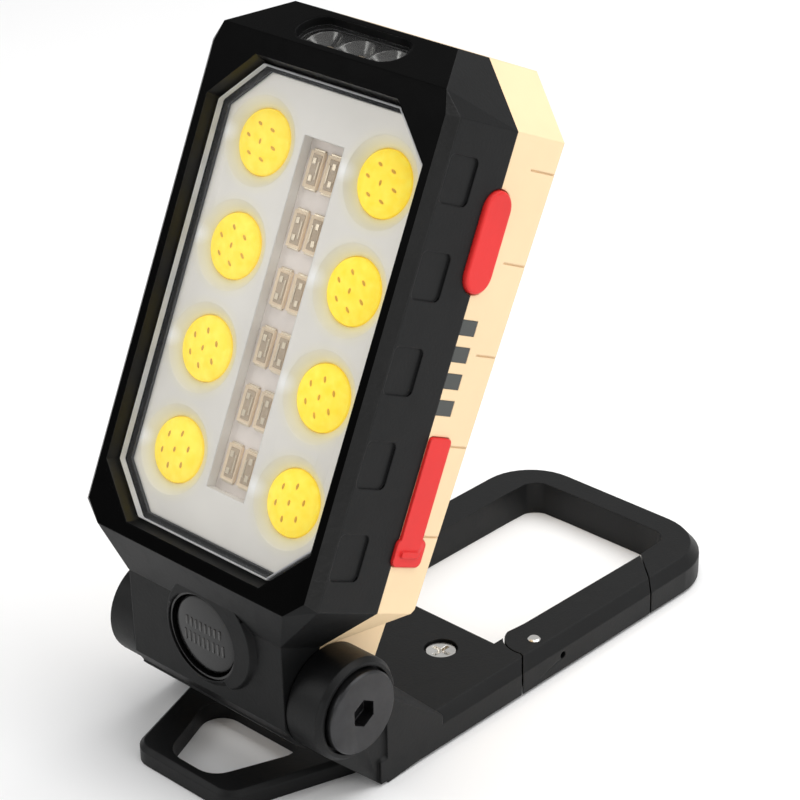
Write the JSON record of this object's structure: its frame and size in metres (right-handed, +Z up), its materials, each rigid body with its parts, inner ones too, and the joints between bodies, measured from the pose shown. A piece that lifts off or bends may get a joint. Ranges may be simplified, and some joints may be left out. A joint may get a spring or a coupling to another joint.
{
  "type": "work light",
  "caption": "Foldable rechargeable work light: flat lamp head on a friction hinge, over a magnetic base with a hanging loop and a carabiner ring.",
  "frame": {"origin": "centre of the magnet's face, in the underside of the base, on the plane it stands on", "axes": "+Z up from the underside, +X along the hinge towards the side with the red button, +Y towards the carabiner ring; the lamp faces -Y"},
  "size_m": [0.0625, 0.1315, 0.1348],
  "materials": {
    "black_shell": "satin moulded black plastic",
    "cream_shell": "satin moulded cream plastic",
    "black_trim": "glossy black plastic",
    "black_rubber": "soft black rubber",
    "red_rubber": "satin red rubber",
    "clear_lens": "clear polycarbonate",
    "window_plastic": "smoked plastic",
    "reflector": "vacuum-plated plastic",
    "phosphor": "yellow phosphor gel",
    "led_package": "small light packages",
    "board_white": "white-coated aluminium board",
    "board_green": "green circuit board",
    "cell_sleeve": "shrink sleeve on a steel can",
    "inner_plastic": "moulded inner plastic",
    "bright_steel": "plated steel",
    "dark_steel": "black oxide steel",
    "plain_steel": "plain steel",
    "magnet_metal": "nickel-plated magnet",
    "washer_bronze": "friction washer"
  },
  "bodies": {
    "base": {"base_frame": "black_shell", "bottom_cover": "black_shell", "magnet_cup": "plain_steel", "magnet": "magnet_metal", "base_screws": "bright_steel", "hinge_bolt": "dark_steel", "hinge_nut": "dark_steel", "spring_washer": "plain_steel", "friction_washers": "washer_bronze", "gate_pin": "bright_steel", "gate_spring": "bright_steel"},
    "head": {"front_housing": "black_shell", "rear_shell": "cream_shell", "lens_gasket": "black_rubber", "front_lens": "clear_lens", "reflector_plate": "reflector", "cob_chips": "phosphor", "warning_leds": "led_package", "led_board": "board_white", "torch_lens": "clear_lens", "torch_reflector": "reflector", "torch_leds": "led_package", "battery_cell": "cell_sleeve", "battery_tabs": "bright_steel", "battery_cradle": "inner_plastic", "control_board": "board_green", "indicator_leds": "led_package", "indicator_windows": "window_plastic", "usb_c_port": "bright_steel", "usb_a_port": "bright_steel", "side_switch": "inner_plastic", "power_bezel": "black_trim", "power_switch": "inner_plastic", "housing_screws": "dark_steel", "hinge_sleeve": "plain_steel"},
    "side_button": {"side_button": "red_rubber"},
    "power_button": {"power_button": "black_trim"},
    "usb_cover": {"usb_cover": "red_rubber"},
    "gate": {"gate": "black_shell"}
  },
  "joints": [
    {"name": "head_tilt", "type": "hinge", "parent": "base", "child": "head", "pos_m": [0, -0.027, 0.02075], "axis": [-1, 0, 0], "range_deg": [-95, 65]},
    {"name": "side_button_press", "type": "slide", "parent": "head", "child": "side_button", "axis": [-1, 0, 0], "range_m": [0, 0.0006], "stiffness_N_per_m": 800},
    {"name": "power_button_press", "type": "slide", "parent": "head", "child": "power_button", "axis": [0, 0.9999, 0.0104], "range_m": [0, 0.0007], "stiffness_N_per_m": 800},
    {"name": "usb_cover_open", "type": "hinge", "parent": "head", "child": "usb_cover", "pos_m": [0.0313, -0.00473, 0.06851], "axis": [0, -0.9063, 0.4226], "range_deg": [0, 100]},
    {"name": "gate_swing", "type": "hinge", "parent": "base", "child": "gate", "pos_m": [0.0238, 0.0282, 0.004], "axis": [0, 0, 1], "range_deg": [0, 28], "stiffness_Nm_per_rad": 0.03, "springref_deg": -17.19}
  ]
}
